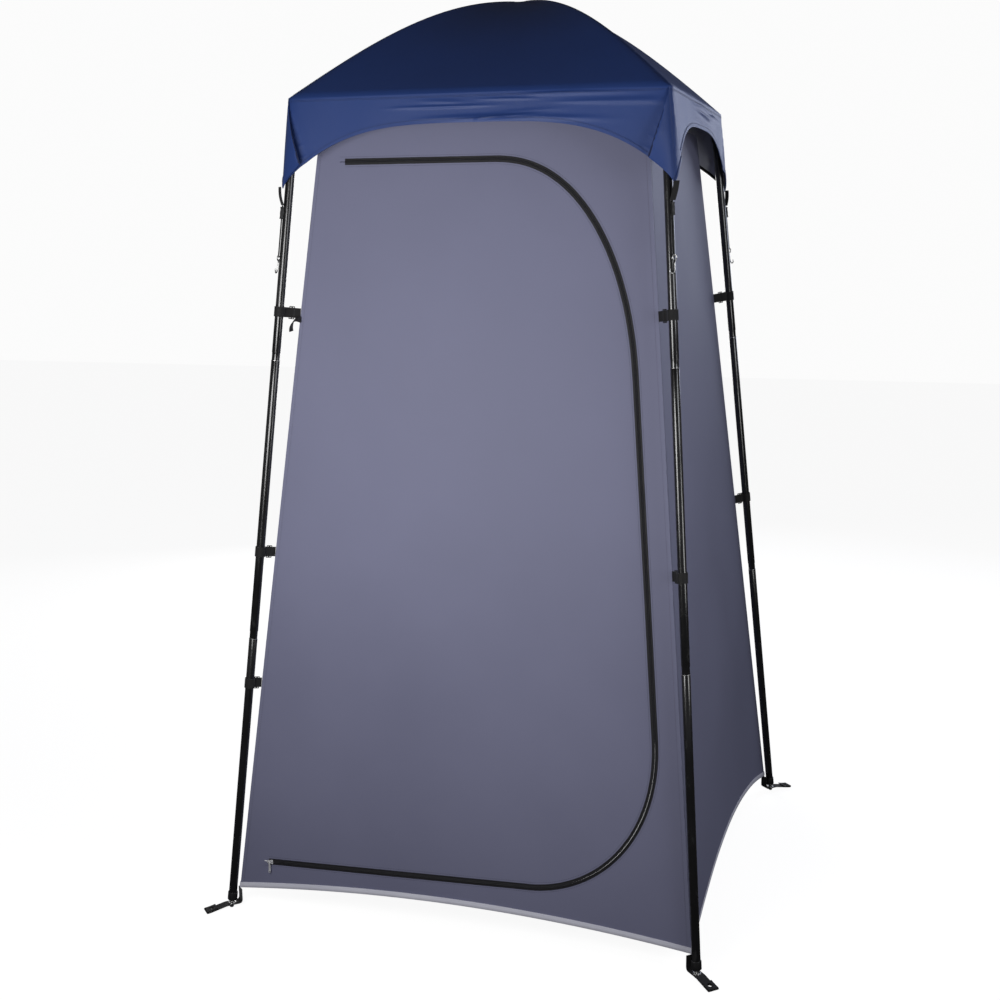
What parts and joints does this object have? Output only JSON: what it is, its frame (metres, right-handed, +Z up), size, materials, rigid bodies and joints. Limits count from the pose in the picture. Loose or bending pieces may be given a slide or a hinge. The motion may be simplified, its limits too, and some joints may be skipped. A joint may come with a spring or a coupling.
{
  "type": "privacy shower tent",
  "caption": "Pole-framed privacy tent: domed rain cover over a hanging inner tent with a zipped D-shaped door, open at the foot.",
  "frame": {"origin": "on the ground at the centre of the four feet", "axes": "+Z up, front with the door faces -Y, +X to the right seen from the front"},
  "size_m": [1.2046, 1.2046, 2.0747],
  "materials": {
    "leg_tube": "gloss black powder coat on steel tube",
    "steel": "zinc plated steel",
    "hub_plastic": "black moulded nylon",
    "webbing": "black woven polyester webbing",
    "cord": "thin black braided cord",
    "roof_pole": "black pultruded glass fibre rod",
    "canopy_fabric": "navy coated polyester with a soft sheen, silver grey inside",
    "wall_fabric": "lavender grey coated polyester",
    "zip_tape": "black coil zip and tape"
  },
  "bodies": {
    "frame_and_tent": {"leg_lower_front_left": "leg_tube", "leg_middle_front_left": "leg_tube", "leg_upper_front_left": "leg_tube", "foot_pin_front_left": "steel", "corner_hub_front_left": "hub_plastic", "strap_upper_front_left": "webbing", "strap_lower_front_left": "webbing", "foot_tab_front_left": "webbing", "tie_tab_front_left": "webbing", "tie_cord_front_left": "cord", "leg_lower_front_right": "leg_tube", "leg_middle_front_right": "leg_tube", "leg_upper_front_right": "leg_tube", "foot_pin_front_right": "steel", "corner_hub_front_right": "hub_plastic", "strap_upper_front_right": "webbing", "strap_lower_front_right": "webbing", "foot_tab_front_right": "webbing", "tie_tab_front_right": "webbing", "tie_cord_front_right": "cord", "leg_lower_back_right": "leg_tube", "leg_middle_back_right": "leg_tube", "leg_upper_back_right": "leg_tube", "foot_pin_back_right": "steel", "corner_hub_back_right": "hub_plastic", "strap_upper_back_right": "webbing", "strap_lower_back_right": "webbing", "foot_tab_back_right": "webbing", "tie_tab_back_right": "webbing", "tie_cord_back_right": "cord", "leg_lower_back_left": "leg_tube", "leg_middle_back_left": "leg_tube", "leg_upper_back_left": "leg_tube", "foot_pin_back_left": "steel", "corner_hub_back_left": "hub_plastic", "strap_upper_back_left": "webbing", "strap_lower_back_left": "webbing", "foot_tab_back_left": "webbing", "tie_tab_back_left": "webbing", "strap_third_front_left": "webbing", "roof_pole_under": "roof_pole", "roof_pole_over": "roof_pole", "canopy_dome": "canopy_fabric", "canopy_valance_front": "canopy_fabric", "canopy_valance_right": "canopy_fabric", "wall_right": "wall_fabric", "canopy_valance_back": "canopy_fabric", "wall_back": "wall_fabric", "canopy_valance_left": "canopy_fabric", "wall_left": "wall_fabric", "wall_front": "wall_fabric", "zip_tape_wall": "zip_tape"},
    "door": {"door_panel": "wall_fabric", "zip_tape_door": "zip_tape"},
    "zip_slider": {"zip_slider": "steel"},
    "zip_pull": {"zip_pull": "steel"},
    "tie_hook_front_left": {"tie_hook_front_left": "steel"},
    "tie_hook_front_right": {"tie_hook_front_right": "steel"},
    "tie_hook_back_right": {"tie_hook_back_right": "steel"}
  },
  "joints": [
    {"name": "door_hinge", "type": "hinge", "parent": "frame_and_tent", "child": "door", "pos_m": [-0.47124, -0.52849, 0.116], "axis": [-0.1088, -0.0902, -0.99], "range_deg": [0, 100]},
    {"name": "zip_slide", "type": "slide", "parent": "door", "child": "zip_slider", "axis": [0.9993, 0.0057, 0.0379], "range_m": [0, 0.6]},
    {"name": "zip_pull_hinge", "type": "hinge", "parent": "zip_slider", "child": "zip_pull", "pos_m": [-0.45478, -0.53578, 0.11709], "axis": [-0.9993, -0.0057, -0.0379], "range_deg": [0, 120]},
    {"name": "tie_hook_front_left_hinge", "type": "hinge", "parent": "frame_and_tent", "child": "tie_hook_front_left", "pos_m": [-0.41837, -0.45356, 1.50267], "axis": [-0.7351, 0.678, 0], "range_deg": [0, 60]},
    {"name": "tie_hook_front_right_hinge", "type": "hinge", "parent": "frame_and_tent", "child": "tie_hook_front_right", "pos_m": [0.45356, -0.41837, 1.50267], "axis": [-0.678, -0.7351, 0], "range_deg": [0, 60]},
    {"name": "tie_hook_back_right_hinge", "type": "hinge", "parent": "frame_and_tent", "child": "tie_hook_back_right", "pos_m": [0.41837, 0.45356, 1.50267], "axis": [0.7351, -0.678, 0], "range_deg": [0, 60]}
  ]
}
